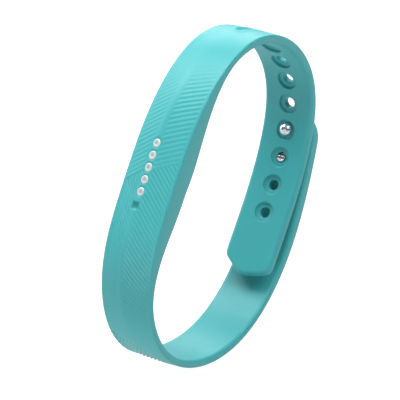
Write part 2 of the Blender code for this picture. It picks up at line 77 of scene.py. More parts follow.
# %% [markdown]
# ## The camera
# A long lens from a little above keeps the ring's shape honest: near and far
# edges stay almost parallel, as they do when a small thing is shot from half a
# metre away. The camera is aimed by a direction and a distance, which is easier
# to reason about than three angles.

# %% Camera
CAMERA_AZIMUTH, CAMERA_ELEVATION = math.radians(-56.41), math.radians(24.59)
CAMERA_AIM = Vector((-5.56, 0.0, 1.02)) * MM
CAMERA_DISTANCE = 444.3 * MM
LENS_MM = 205.5

camera_back = Vector((
    math.sin(CAMERA_AZIMUTH) * math.cos(CAMERA_ELEVATION),
    -math.cos(CAMERA_AZIMUTH) * math.cos(CAMERA_ELEVATION),
    math.sin(CAMERA_ELEVATION),
))
camera_data = bpy.data.cameras.new("camera")
camera_data.lens = LENS_MM
camera_data.sensor_width = 36.0
camera_data.clip_start, camera_data.clip_end = 0.01, 20.0
camera = bpy.data.objects.new("camera", camera_data)
camera.location = CAMERA_AIM + camera_back * CAMERA_DISTANCE
camera.rotation_mode = "QUATERNION"
camera.rotation_quaternion = (-camera_back).to_track_quat("-Z", "Y")
bpy.context.scene.collection.objects.link(camera)
bpy.context.scene.camera = camera
print("camera at", [round(c, 4) for c in camera.location])

# %% [markdown]
# ## The band's course
# The strap is a ribbon that turns only in one plane, so its whole course is a
# heading that changes with the length travelled. The length S runs in millimetres
# from the free tip of the holed strap, up the right side, over the top, down the
# ribbed side, underneath and up again to the clasp end. A smooth curve through a
# few headings, added up in tiny steps, gives the same line that the solids have.

# %% Course
START = (10.03, -24.39)
HEADING_STEP = 17.25
HEADINGS = (53.1, 56.0, 74.9, 125.0, 164.3, 207.4, 232.7, 242.0, 281.2,
            326.5, 359.6, 394.2, 419.6, 431.9, 436.4)
FINE_STEP = 0.05


def heading(s):
    """Direction of travel in radians at length S."""
    h = np.array((2 * HEADINGS[0] - HEADINGS[1],) + HEADINGS + (2 * HEADINGS[-1] - HEADINGS[-2],))
    x = np.asarray(s, float) / HEADING_STEP
    i = np.clip(np.floor(x).astype(int), 0, len(HEADINGS) - 2)
    t = x - i
    a, b, c, d = h[i], h[i + 1], h[i + 2], h[i + 3]
    turn = 2 * b + (c - a) * t
    turn = turn + (2 * a - 5 * b + 4 * c - d) * t ** 2 + (3 * b - a - 3 * c + d) * t ** 3
    return np.radians(0.5 * turn)


course_s = np.arange(0.0, HEADING_STEP * (len(HEADINGS) - 1), FINE_STEP)
course_mid = heading(course_s + 0.5 * FINE_STEP)
course_x = START[0] + FINE_STEP * np.concatenate(([0.0], np.cumsum(np.cos(course_mid))))[:-1]
course_z = START[1] + FINE_STEP * np.concatenate(([0.0], np.cumsum(np.sin(course_mid))))[:-1]


def place(s, y, n):
    """Points at length S, across at y and n above the outer edge line, in mm."""
    h = heading(s)
    x = np.interp(s, course_s, course_x) + np.sin(h) * n
    z = np.interp(s, course_s, course_z) - np.cos(h) * n
    return np.stack(np.broadcast_arrays(x, y, z), axis=-1)


def curl(s):
    """How sharply the course turns at S, in radians per mm."""
    return heading(s + 0.5) - heading(s - 0.5)


print("course length %.1f mm" % course_s[-1])

# %% [markdown]
# ## Thickness, crown and ridge
# The strap is thin where it is only a strap, deep where it houses the tracker
# and a little fuller again at the clasp. Its outer face is two shallow facets
# that meet in a soft ridge just off the middle. Each of these is a smooth step,
# so no hard change shows anywhere along the moulding.

# %% Section measures
HALF_WIDTH = 5.6
RIDGE_Y, RIDGE_SOFT = 0.5, 0.28
OUTER_EDGE, INNER_EDGE = 0.32, 0.75      # radii of the long edges
STRAP_THICK, LOWER_THINNER = 1.8, 0.3
HOUSING_THICKER, HOUSING_RISE, HOUSING_FALL = 3.75, (81.0, 107.7), (112.8, 138.5)
CLASP_THICKER, CLASP_RISE = 0.95, (187.0, 212.0)
CROWN, HOUSING_CROWN, CROWN_RISE, CROWN_FALL = 0.2, 0.9, (74.0, 98.0), (122.0, 148.0)


def ease(x, low, high):
    """Smooth step from 0 at low to 1 at high."""
    t = np.clip((np.asarray(x, float) - low) / (high - low), 0.0, 1.0)
    return t * t * (3.0 - 2.0 * t)


def thickness(s):
    """From the outer edge line to the skin side, in mm."""
    thinner = LOWER_THINNER * ease(s, HOUSING_RISE[1], HOUSING_FALL[0])
    housing = ease(s, *HOUSING_RISE) * (1 - ease(s, *HOUSING_FALL))
    return STRAP_THICK - thinner + HOUSING_THICKER * housing + CLASP_THICKER * ease(s, *CLASP_RISE)


def crown(s):
    """How far the ridge stands above the outer edge line, in mm."""
    return CROWN + HOUSING_CROWN * ease(s, *CROWN_RISE) * (1 - ease(s, *CROWN_FALL))


def ridge(y):
    """1 on the ridge, 0 at the side edges."""
    reach = np.where(y > RIDGE_Y, HALF_WIDTH - RIDGE_Y, HALF_WIDTH + RIDGE_Y)
    x = (y - RIDGE_Y) / reach
    top = math.sqrt(1 + RIDGE_SOFT ** 2)
    return (top - np.sqrt(x * x + RIDGE_SOFT ** 2)) / (top - RIDGE_SOFT)


for name, s in (("holed strap", 30), ("housing", 109), ("lower strap", 165), ("clasp", 220)):
    print("%-12s thick %.2f mm, crown %.2f mm" % (name, thickness(s), crown(s)))

# %% [markdown]
# ## The moulded relief
# On the real band the relief is cut into the mould: wide ribs above the third
# light, finer ribs at the opposite slant below it, a low crest along the ridge, a
# small square recess, a plain oval dimple with a raised rim at the top and a comb
# of grooves underneath. A bump map would fake them, but then the outline stays
# smooth, so here they are real height. Every pattern is a wave of one slanted
# coordinate times a mask that says where it lives, and the masks are smooth, so
# the ribs die away as moulded ribs do. Slants differ on the two sides of the
# ridge, as they do on the real moulding.

# %% Relief
LIGHT_COUNT, LIGHT_PITCH, BEAD_NARROW = 5, 2.39, 0.86
TRACKER_S, TRACKER_SHIFT, TRACKER_HEADING = 106.75, 2.25, math.radians(235.0)
TRACKER_FACE_DEPTH = 5.0
LIGHT_S = [TRACKER_S + TRACKER_SHIFT + (i - 2) * LIGHT_PITCH for i in range(LIGHT_COUNT)]
LIGHT_SEAT_DEPTH, LIGHT_CLEAR, LIGHT_SEAT = 0.1, (0.95, 1.45), (0.8, 1.15)
RECESS_S, RECESS_Y = TRACKER_S + TRACKER_SHIFT + 7.5, RIDGE_Y + 0.25
RECESS_SOFT, RECESS_DEPTH = (0.5, 0.85), 0.6
RIM_Y = (4.85, 5.15)                     # the relief stops short of the edges
# pairs in the rib measures are for the front side of the ridge and for behind it
RIB_BORDER_S, BORDER_AHEAD, BORDER_SLANT = 108.75, 0.8, (0.55, 0.67)
WIDE_RIB_DEPTH, WIDE_PITCH, WIDE_START = 0.065, 1.04, (82.0, 96.0)
WIDE_SHARE, WIDE_SHIFT = (1.0, 0.55), (0.2, 0.1)
FINE_RIB_DEPTH, FINE_PITCH, FINE_SHARE = 0.16, (0.98, 1.04), (0.65, 1.0)
FINE_SLANT, FINE_SHIFT, FINE_FADE = (0.94, 1.31), 0.5, ((136.0, 143.0), (119.0, 130.0))
COMB_DEPTH, COMB_PITCH, COMB_SLANT, COMB_SHIFT = 0.24, 0.88, 0.52, 0.6
COMB_S, COMB_MIDDLE_S, COMB_FADE, COMB_NEAR_Y = 142.6, 146.0, (158.0, 163.0), (-2.2, -1.4)
CREST_HEIGHT, CREST_WIDTH, CREST_RISE, CREST_FALL = 0.09, (0.1, 1.1), (84.0, 100.0), (132.0, 142.0)
DIMPLE_S, DIMPLE_Y, DIMPLE_LONG, DIMPLE_WIDE = 70.6, -0.3, 2.6, 1.5
DIMPLE_DEPTH, DIMPLE_RIM = 0.3, 0.16


def wave(phase):
    """A row of soft grooves: 0 on the ribs, 1 at the bottom of each groove."""
    return (0.5 - 0.5 * np.cos(2 * np.pi * phase)) ** 1.2


def sides(t, front, back):
    """One value on the front side of the ridge, another behind it."""
    return np.where(t < 0, front, back)


def rib_border(t):
    """S where the wide ribs end and the fine ones begin, t across from the ridge."""
    return RIB_BORDER_S + sides(t, BORDER_AHEAD + BORDER_SLANT[0] * t, BORDER_SLANT[1] * t)


def wide_ribs(s, y):
    t = y - RIDGE_Y
    border = rib_border(t)
    live = ease(s, *WIDE_START) * (1 - ease(s, border - 0.5, border - 0.1))
    live = live * ease(np.abs(t), 0.35, 1.3) * sides(t, *WIDE_SHARE)
    return WIDE_RIB_DEPTH * wave((s - border - sides(t, *WIDE_SHIFT)) / WIDE_PITCH) * live


def fine_ribs(s, y):
    t = y - RIDGE_Y
    border = rib_border(t)
    slant = s + sides(t, FINE_SLANT[0] * t, FINE_SLANT[1] * t - FINE_SHIFT)
    live = ease(s, border + 0.1, border + 0.5) * (0.25 + 0.75 * ease(np.abs(t), 0.1, 0.9))
    live = live * sides(t, *(a * (1 - ease(s, *fade)) for a, fade in zip(FINE_SHARE, FINE_FADE)))
    return FINE_RIB_DEPTH * wave(slant / sides(t, *FINE_PITCH)) * live


def comb_grooves(s, y):
    start = COMB_S + 0.69 * (HALF_WIDTH - y)
    live = ease(s, start, start + 1.2) * (1 - ease(s, *COMB_FADE)) * ease(y, *COMB_NEAR_Y)
    across = y - COMB_SHIFT - COMB_SLANT * (s - COMB_MIDDLE_S)
    return COMB_DEPTH * wave(across / COMB_PITCH) * live


def crest(s, y):
    live = ease(s, *CREST_RISE) * (1 - ease(s, *CREST_FALL))
    return CREST_HEIGHT * (1 - ease(np.abs(y - RIDGE_Y), *CREST_WIDTH)) * live


def relief(s, y):
    """How far the outer face is lowered, in mm."""
    rim = 1 - ease(np.abs(y), *RIM_Y)
    down = (wide_ribs(s, y) + fine_ribs(s, y) + comb_grooves(s, y)) * rim - crest(s, y)
    for light in LIGHT_S:
        reach = np.hypot(s - light, (y - RIDGE_Y) / BEAD_NARROW)
        down = down * ease(reach, *LIGHT_CLEAR) + LIGHT_SEAT_DEPTH * (1 - ease(reach, *LIGHT_SEAT))
    square = ((1 - ease(np.abs(s - RECESS_S), *RECESS_SOFT))
              * (1 - ease(np.abs(y - RECESS_Y), *RECESS_SOFT)))
    down = down * (1 - square) + RECESS_DEPTH * square
    oval = ((s - DIMPLE_S) / DIMPLE_LONG) ** 2 + ((y - DIMPLE_Y) / DIMPLE_WIDE) ** 2
    raised = ease(oval, 0.6, 1.0) * (1 - ease(oval, 1.0, 1.7))
    return down + DIMPLE_DEPTH * (1 - ease(oval, 0.5, 1.0)) - DIMPLE_RIM * raised


print("rib depth %.2f mm wide, %.2f mm fine" % (WIDE_RIB_DEPTH, FINE_RIB_DEPTH))

# %% [markdown]
# ## A grid wrapped round the strap
# The strap could be a swept curve, but then every hole would need a Boolean cut,
# which leaves long thin faces that shade badly. Instead the skin is a grid: rows
# along S and columns round the section. Rows are set so that each hole sits in a
# whole square of the grid, and that square is left out for a round patch.
#
# A column says where it lies on the section: outer face, outer bend, side wall,
# inner bend or inner face. `plan` turns a row and a column into a place on the
# flat outline; at the two strap ends it wraps the square grid round the rounded
# outline, so there is no pinched point.

# %% Grid
HOLE_PITCH, HOLE_COUNT, HOLE_ROWS = 5.99, 8, 48
LAST_HOLE_S = 57.8
ROW = HOLE_PITCH / HOLE_ROWS
ROW_ZERO_S = LAST_HOLE_S - (HOLE_COUNT - 0.5) * HOLE_PITCH     # the first hole's square starts
FLAT, BEND, WALL = 84, 8, 8
TIP_ROOT, TIP_ROWS = -28, 68
SEAM_ROW = 1420
CLASP_ROOT, CLASP_ROWS = 1696, 44
# (reach past the root, y) along the blunt, uneven tip
TIP_CORNERS = ((3.9, 5.6), (7.4, 0.9), (7.2, -0.6), (5.9, -5.0), (5.2, -5.6))
TIP_POWER = 22          # higher makes the tip's corners sharper
CLASP_END_S = 230.2
OUTER_FACE, OUTER_BEND, SIDE_WALL, INNER_BEND, INNER_FACE = range(5)

# the loop runs over the outer face, down the right wall, back under and up the left
SECTION = ((OUTER_FACE, FLAT, True), (OUTER_BEND, BEND, True), (SIDE_WALL, WALL, True),
           (INNER_BEND, BEND, True), (INNER_FACE, FLAT, True),
           (INNER_BEND, BEND, False), (SIDE_WALL, WALL, False), (OUTER_BEND, BEND, False))
LOOP = sum(count for _, count, _ in SECTION)
INNER_START = FLAT + 2 * BEND + WALL
INNER_STOP = INNER_START + FLAT
column_kind = np.array([kind for kind, count, _ in SECTION for _ in range(count)])
column_share = np.array([k / count if forward else 1 - k / count
                         for _, count, forward in SECTION for k in range(count)])
# the first column of the left wall is also the last of its inner bend
column_kind[INNER_STOP + BEND], column_share[INNER_STOP + BEND] = INNER_BEND, 0.0
column_side = np.ones(LOOP)
column_side[:FLAT] = 2 * column_share[:FLAT] - 1
column_side[INNER_START:INNER_STOP] = 1 - 2 * column_share[:FLAT]
column_side[INNER_STOP:] = -1


def row_s(i):
    return ROW_ZERO_S + ROW * np.asarray(i, float)


TIP_S = float(row_s(TIP_ROOT)) - max(reach for reach, _ in TIP_CORNERS)
CLASP_REACH = CLASP_END_S - row_s(CLASP_ROOT)


def tip_sides(inset):
    """The tip as the (normal, distance) of its straight sides."""
    lines = [(0.0, 1.0, HALF_WIDTH - inset), (0.0, -1.0, HALF_WIDTH - inset)]
    for (ax, ay), (bx, by) in zip(TIP_CORNERS, TIP_CORNERS[1:]):
        size = math.hypot(bx - ax, by - ay)
        nx, ny = (ay - by) / size, (bx - ax) / size
        lines.append((nx, ny, nx * ax + ny * ay - inset))
    return lines


def tip_outline(ux, uy, inset):
    """Distance to the rounded tip outline along a direction, and its normal."""
    total, gx, gy = 0.0, 0.0, 0.0
    for nx, ny, far in tip_sides(inset):
        q = np.maximum((nx * ux + ny * uy) / far, 0.0)
        total = total + q ** TIP_POWER
        gx = gx + nx / far * q ** (TIP_POWER - 1)
        gy = gy + ny / far * q ** (TIP_POWER - 1)
    size = np.hypot(gx, gy)
    return total ** (-1 / TIP_POWER), gx / size, gy / size


def clasp_outline(ux, uy, inset):
    """The same for the round clasp end."""
    a, b = CLASP_REACH - inset, HALF_WIDTH - inset
    far = 1 / np.sqrt((ux / a) ** 2 + (uy / b) ** 2)
    gx, gy = ux / a ** 2, uy / b ** 2
    size = np.hypot(gx, gy)
    return far, gx / size, gy / size


def plan(i, side, inset):
    """(S, y) on the outline shrunk by inset, and the outward direction there."""
    i, side, inset = np.broadcast_arrays(np.asarray(i, float), side, inset)
    s, y = row_s(i), side * (HALF_WIDTH - inset)
    out_s, out_y = np.zeros_like(s), np.where(side < 0, -1.0, 1.0)
    for root, rows, turn, outline in ((TIP_ROOT, TIP_ROWS, -1, tip_outline),
                                      (CLASP_ROOT, CLASP_ROWS, 1, clasp_outline)):
        past = turn * (i - root) / rows
        there = past > 0
        if not there.any():
            continue
        a, b = past[there], side[there]
        x, w = a * np.sqrt(1 - b * b / 2), b * np.sqrt(1 - a * a / 2)
        size = np.maximum(np.hypot(x, w), 1e-9)
        far, gx, gy = outline(x / size, w / size, inset[there])
        s[there] = row_s(root) + turn * far * x
        y[there] = far * w
        out_s[there], out_y[there] = turn * gx, gy
    return s, y, out_s, out_y


def face_height(s, y):
    """Outer face above the edge line: crown and ridge less the relief."""
    ends = ease(s, TIP_S, TIP_S + 4.0) * (1 - ease(s, CLASP_END_S - 5.0, CLASP_END_S))
    return crown(s) * ends * ridge(y) - relief(s, y)


def skin_face(s, y):
    """The same for the face on the skin side, which is flat across."""
    return -thickness(s)


def skin(i, side, kind, share):
    """Points of the skin in mm for rows, outline places and section places."""
    i, side, kind, share = np.broadcast_arrays(np.asarray(i, float), side, kind, share)
    inset = np.where(kind <= SIDE_WALL, OUTER_EDGE, INNER_EDGE)
    s, y, out_s, out_y = plan(i, side, inset)
    thick = thickness(s)
    angle = share * np.pi / 2
    high = face_height(s, y)
    wall_low = INNER_EDGE - thick
    n = np.select(
        [kind == OUTER_FACE, kind == OUTER_BEND, kind == SIDE_WALL, kind == INNER_BEND],
        [high, (OUTER_EDGE + high) * np.cos(angle) - OUTER_EDGE,
         -OUTER_EDGE + share * (wall_low + OUTER_EDGE), wall_low - INNER_EDGE * np.sin(angle)],
        -thick)
    push = np.select(
        [kind == OUTER_BEND, kind == SIDE_WALL, kind == INNER_BEND],
        [OUTER_EDGE * np.sin(angle), OUTER_EDGE, INNER_EDGE * np.cos(angle)], 0.0)
    return place(s + out_s * push, y + out_y * push, n)


def skin_at(keys):
    """Points for (row, column) keys."""
    i, j = np.array(keys).T
    j = j % LOOP
    return skin(i, column_side[j], column_kind[j], column_share[j])


print("grid of", CLASP_ROOT + CLASP_ROWS - TIP_ROOT + TIP_ROWS, "rows by", LOOP, "columns")

# %% [markdown]
# ## Faces of many sizes
# Fine ribs need rows an eighth of a millimetre apart, but the plain strap doesn't.
# So each region gets cells of its own size. Where a large cell meets small ones,
# its side takes in all of their corners and it becomes a face of more than four
# sides. The skin then stays closed, with no cracks and no wasted faces.

# %% Cells
COARSE = 4              # grid steps in a plain cell
FACE_COLUMNS = [0] + list(range(2, FLAT - 1, COARSE)) + [FLAT]
HOLE_LEFT, HOLE_RIGHT = 18, 66
SEAM_CORNERS = 40       # only the hidden flat faces at the seam have more corners
WELD = 2e-6


def cells(rows, columns, holes=()):
    """Rectangles between the given rows and columns, without those in a hole."""
    made = []
    for i0, i1 in zip(rows, rows[1:]):
        for j0, j1 in zip(columns, columns[1:]):
            if not any(h[0] <= i0 and i1 <= h[1] and h[2] <= j0 and j1 <= h[3] for h in holes):
                made.append((i0, i1, j0, j1))
    return made


def rim_keys(i0, i1, j0, j1, step=1):
    """The grid points round a rectangle, in order."""
    down, across = list(range(i0, i1 + 1, step)), list(range(j0, j1 + 1, step))
    keys = [(i, j0) for i in down[:-1]] + [(i1, j) for j in across[:-1]]
    return keys + [(i, j1) for i in down[:0:-1]] + [(i0, j) for j in across[:0:-1]]


def skin_patch(cell_list):
    """Points and faces of the skin for a list of cells."""
    corners = {(i, j % LOOP) for a, b, c, d in cell_list for i in (a, b) for j in (c, d)}
    order = sorted(corners)
    index = {key: k for k, key in enumerate(order)}
    faces = []
    for cell in cell_list:
        loop = [(i, j % LOOP) for i, j in rim_keys(*cell)]
        faces.append([index[key] for key in loop if key in index])
    return skin_at(order), faces


def bridged(rings, shut_last=False):
    """Points and faces through closed rings of equal length."""
    points = np.concatenate(rings)
    m = len(rings[0])
    faces = []
    for r in range(len(rings) - 1):
        for k in range(m):
            q = (k + 1) % m
            faces.append([r * m + k, r * m + q, (r + 1) * m + q, (r + 1) * m + k])
    if shut_last:
        faces.append([(len(rings) - 1) * m + k for k in range(m)])
    return points, faces


def mesh_piece(name, patches, material, sharp=None):
    """Weld patches in mm into one closed smooth object in metres."""
    points, faces, base = [], [], 0
    for p, f in patches:
        points.append(np.asarray(p, float) * MM)
        faces += [[k + base for k in face] for face in f]
        base += len(p)
    mesh = bpy.data.meshes.new(name)
    mesh.from_pydata(np.concatenate(points).tolist(), [], faces)
    work = bmesh.new()
    work.from_mesh(mesh)
    bmesh.ops.remove_doubles(work, verts=work.verts, dist=WELD)
    bmesh.ops.recalc_face_normals(work, faces=work.faces)
    for face in work.faces:
        face.smooth = True
        if len(face.verts) > SEAM_CORNERS:
            for edge in face.edges:
                edge.smooth = False
    open_edges = sum(1 for e in work.edges if len(e.link_faces) != 2)
    work.to_mesh(mesh)
    work.free()
    if sharp is not None:
        mesh.set_sharp_from_angle(angle=math.radians(sharp))
    piece = bpy.data.objects.new(name, mesh)
    bpy.context.scene.collection.objects.link(piece)
    mesh.materials.append(material)
    print("%s: %d points, %d faces, %d open edges" % (
        name, len(mesh.vertices), len(mesh.polygons), open_edges))
    return piece


print("face columns:", len(FACE_COLUMNS))

# %% [markdown]
# ## Grain, drift and wear as node groups
# Moulded silicone has a very fine tooth, a colour that drifts a little and a
# smoother, paler edge where it is rubbed. The same three effects, in other
# amounts, also make the plastics and the metal, so each is built once as a node
# group with named sockets, and every material places it with its own values.

# %% Node groups
NOISE_ROUGHNESS = 0.55
NOISE_SPAN = (0.3, 0.7)     # where nearly all of a noise's values lie
WORN_POINTINESS = (0.53, 0.62)
FINER_BY, FINER_SHARE = 3.1, 0.5


def new_group(name, inputs, output, kind):
    """A group that takes a place and some settings; gives the tree and its inner ends."""
    tree = bpy.data.node_groups.new(name, "ShaderNodeTree")
    sockets = tree.interface
    sockets.new_socket("Vector", in_out="INPUT", socket_type="NodeSocketVector")
    for label, value in inputs:
        colour = isinstance(value, tuple)
        socket = sockets.new_socket(
            label, in_out="INPUT", socket_type="NodeSocketColor" if colour else "NodeSocketFloat")
        socket.default_value = value
    sockets.new_socket(output, in_out="OUTPUT", socket_type="NodeSocket" + kind)
    come, go = tree.nodes.new("NodeGroupInput"), tree.nodes.new("NodeGroupOutput")
    return tree, come.outputs, go.inputs


def feed(tree, socket, value):
    """Link a socket, or set it where the value is a constant."""
    if isinstance(value, (int, float, tuple)):
        socket.default_value = value
    else:
        tree.links.new(value, socket)


def math_node(tree, operation, a, b):
    node = tree.nodes.new("ShaderNodeMath")
    node.operation = operation
    feed(tree, node.inputs[0], a)
    feed(tree, node.inputs[1], b)
    return node.outputs[0]


def noise_node(tree, where, scale, detail):
    node = tree.nodes.new("ShaderNodeTexNoise")
    for label, value in (("Vector", where), ("Scale", scale), ("Detail", detail),
                         ("Roughness", NOISE_ROUGHNESS)):
        feed(tree, node.inputs[label], value)
    return node.outputs["Fac"]


def mix_node(tree, share, tone, other):
    """A colour that goes from tone to other as share goes from 0 to 1."""
    node = tree.nodes.new("ShaderNodeMix")
    node.data_type = "RGBA"
    for k, value in ((0, share), (6, tone), (7, other)):
        feed(tree, node.inputs[k], value)
    return node.outputs[2]


def range_node(tree, value, low, high, to_low=0.0, to_high=1.0):
    """The value carried from low and high to to_low and to_high, and held beyond."""
    node = tree.nodes.new("ShaderNodeMapRange")
    for k, amount in enumerate((value, low, high, to_low, to_high)):
        feed(tree, node.inputs[k], amount)
    return node.outputs["Result"]


def make_grain_group():
    """Fine moulded tooth: a height of two noises, one coarse and one fine."""
    tree, come, go = new_group("moulded_grain", [("Scale", 4000.0)], "Height", "Float")
    coarse = noise_node(tree, come["Vector"], come["Scale"], 2.0)
    finer = math_node(tree, "MULTIPLY", come["Scale"], FINER_BY)
    fine = noise_node(tree, come["Vector"], finer, 2.0)
    both = math_node(tree, "ADD", coarse, math_node(tree, "MULTIPLY", fine, FINER_SHARE))
    feed(tree, go["Height"], both)
    return tree


def make_drift_group():
    """A colour that wanders slowly between two tones."""
    tree, come, go = new_group("tone_drift", [
        ("Scale", 90.0), ("Tone", (0.1, 0.4, 0.4, 1.0)), ("Other Tone", (0.1, 0.45, 0.45, 1.0)),
    ], "Color", "Color")
    drift = noise_node(tree, come["Vector"], come["Scale"], 3.0)
    feed(tree, go["Color"], mix_node(tree, drift, come["Tone"], come["Other Tone"]))
    return tree


def make_wear_group():
    """A mask that is 1 on worn outer edges, broken up by noise."""
    tree, come, go = new_group(
        "edge_wear", [("Scale", 600.0), ("Amount", 1.0)], "Mask", "Float")
    shape = tree.nodes.new("ShaderNodeNewGeometry")
    raised = range_node(tree, shape.outputs["Pointiness"], *WORN_POINTINESS)
    broken = noise_node(tree, come["Vector"], come["Scale"], 3.0)
    worn = math_node(tree, "MULTIPLY", raised, broken)
    feed(tree, go["Mask"], math_node(tree, "MULTIPLY", worn, come["Amount"]))
    return tree


GRAIN, DRIFT, WEAR = make_grain_group(), make_drift_group(), make_wear_group()
print("groups:", [g.name for g in (GRAIN, DRIFT, WEAR)])

# %% [markdown]
# ## One recipe for a finish
# A finish is a Principled shader with constant values set on its own sockets, and
# the groups feeding only what changes over the surface: base colour, roughness
# and a bump. Roughness is drifted between two values, since no real surface is
# evenly polished.

# %% Finish recipe
TOOTH_HEIGHT = 0.02 * MM
PATCHY_BY = 6           # the roughness is this much patchier than the colour


def place_group(tree, group, where, **values):
    """A group node with its place and its own settings; gives its outputs."""
    node = tree.nodes.new("ShaderNodeGroup")
    node.node_tree = group
    for label, value in {"Vector": where, **values}.items():
        feed(tree, node.inputs[label.replace("_", " ")], value)
    return node.outputs


def object_place(mat):
    """The object coordinates of a finish that is already made."""
    return next(n for n in mat.node_tree.nodes if n.type == "TEX_COORD").outputs["Object"]


def finish(name, tone, other, rough, grain, depth, drift=90.0, wear=0.0,
           worn_tone=None, **constants):
    """A Principled material: drifting tone and roughness, worn edges, fine bump."""
    mat = bpy.data.materials.new(name)
    mat.use_nodes = True
    tree = mat.node_tree
    shader = tree.nodes["Principled BSDF"].inputs
    where = tree.nodes.new("ShaderNodeTexCoord").outputs["Object"]
    colour = place_group(tree, DRIFT, where, Scale=drift, Tone=(*tone, 1.0),
                         Other_Tone=(*other, 1.0))["Color"]
    if wear:
        mask = place_group(tree, WEAR, where, Amount=wear)["Mask"]
        colour = mix_node(tree, mask, colour, (*worn_tone, 1.0))
    feed(tree, shader["Base Color"], colour)
    patchy = noise_node(tree, where, drift * PATCHY_BY, 4.0)
    feed(tree, shader["Roughness"], range_node(tree, patchy, *NOISE_SPAN, *rough))
    bump = tree.nodes.new("ShaderNodeBump")
    tooth = place_group(tree, GRAIN, where, Scale=grain)["Height"]
    for label, value in (("Strength", depth), ("Distance", TOOTH_HEIGHT), ("Height", tooth)):
        feed(tree, bump.inputs[label], value)
    feed(tree, shader["Normal"], bump.outputs["Normal"])
    for label, value in constants.items():
        feed(tree, shader[label.replace("_", " ")], value)
    return mat


rubber = finish("teal_silicone", (0.052, 0.40, 0.42), (0.062, 0.43, 0.45), (0.38, 0.46),
                grain=5200.0, depth=0.35, wear=0.25, worn_tone=(0.13, 0.55, 0.54),
                Specular_IOR_Level=0.42)
print("first finish:", rubber.name)

# %% [markdown]
# ## Round patches for the strap holes
# Each hole is wide on the skin side, where the stud's head rests, and narrow
# through the rest. The square gap in the grid is joined to a circle by a few
# rings, then the rings go on round a soft lip, down the wall, over a floor and
# out through the bore. Soft lips matter: they are what catches the light.

# %% Strap holes
BORE_R, SEAT_R, SEAT_DEPTH = 1.1, 2.05, 0.6
LIP_SOFT, FLOOR_SOFT = 0.2, 0.15
ARC_STEPS = 4


def border(keys):
    """S and y of the grid points round a patch."""
    rows, columns = np.array(keys).T
    columns = columns % LOOP
    inset = np.where(column_kind[columns] <= SIDE_WALL, OUTER_EDGE, INNER_EDGE)
    return plan(rows, column_side[columns], inset)[:2]


def hole_rings(square, middle_s, profile, surface):
    """Rings from a square in the grid onto a circle and down its profile."""
    s, y = border(square)
    angle = np.arctan2(y, s - middle_s)

    def circle(radius, n):
        """S and y of a ring at n, squeezed along S as the strap curls there."""
        squeeze = 1 + curl(middle_s) * n
        return middle_s + radius * np.cos(angle) / squeeze, radius * np.sin(angle)

    round_s, round_y = circle(*profile[0])
    rings = []
    for share in (0.0, 0.4, 0.75):
        ring_s, ring_y = s * (1 - share) + round_s * share, y * (1 - share) + round_y * share
        rings.append(place(ring_s, ring_y, surface(ring_s, ring_y)))
    return rings + [place(*circle(radius, n), n) for radius, n in profile]


def quarter(radius, n, dr, dn, turn_in):
    """A rounded corner as (radius, n) pairs from one face to the next."""
    pairs = []
    for k in range(ARC_STEPS + 1):
        a = math.pi / 2 * k / ARC_STEPS
        if turn_in:
            pairs.append((radius + dr * math.sin(a), n + dn * (1 - math.cos(a))))
        else:
            pairs.append((radius + dr * (1 - math.cos(a)), n + dn * math.sin(a)))
    return pairs


def strap_hole(k):
    """The patch for the k-th hole up from the tip."""
    low = HOLE_ROWS * k
    high = low + HOLE_ROWS
    middle = float(row_s((low + high) / 2))
    t = float(thickness(middle))
    skin_side = rim_keys(low, high, INNER_START + HOLE_LEFT, INNER_START + HOLE_RIGHT, COARSE)
    outside = rim_keys(low, high, HOLE_LEFT, HOLE_RIGHT, COARSE)
    floor = SEAT_DEPTH - t
    profile = quarter(SEAT_R + LIP_SOFT, -t, -LIP_SOFT, LIP_SOFT, True)
    profile += quarter(SEAT_R, floor - FLOOR_SOFT, -FLOOR_SOFT, FLOOR_SOFT, False)
    profile += quarter(BORE_R + FLOOR_SOFT, floor, -FLOOR_SOFT, FLOOR_SOFT, True)
    inner = hole_rings(skin_side, middle, profile, skin_face)
    top = float(face_height(middle, 0.0))
    lip = [(r, top + n) for r, n in quarter(BORE_R + LIP_SOFT, 0.0, -LIP_SOFT, -LIP_SOFT, True)]
    outer = hole_rings(outside, middle, lip, face_height)
    # the outer square may run the other way round, so the rings meet at their nearest points
    m = len(outside)
    bore, foot = outer[-1], inner[-1]
    start = int(np.argmin(np.linalg.norm(bore - foot[0], axis=1)))
    ahead, back = (np.linalg.norm(bore[(start + q) % m] - foot[1]) for q in (1, -1))
    step = 1 if ahead < back else -1
    order = [(start + step * q) % m for q in range(m)]
    return bridged(inner + [ring[order] for ring in outer[::-1]])


hole_patches = [strap_hole(k) for k in range(HOLE_COUNT)]
print(len(hole_patches), "hole patches of", len(hole_patches[0][1]), "faces")

# %% [markdown]
# ## The tracker's pocket and the plate's bed
# The tracker drops into a pocket on the skin side, and the steel plate lies in a
# bed on the outside of the clasp. Both are long openings with rounded ends in
# one face of the strap, so one function makes both: it joins a rectangle left
# out of the grid to the opening's outline, rounds the lip, goes down the wall and
# closes the bottom with rungs, like a ladder.

# %% Openings
SLOT_FULLNESS = 2.6     # 2 is a round end, more is squarer
FOOT_SOFT, FOOT_STEPS = 0.25, 3


def onward(angle):
    return np.array((math.cos(angle), math.sin(angle)))


def outward(angle):
    return np.array((math.sin(angle), -math.cos(angle)))


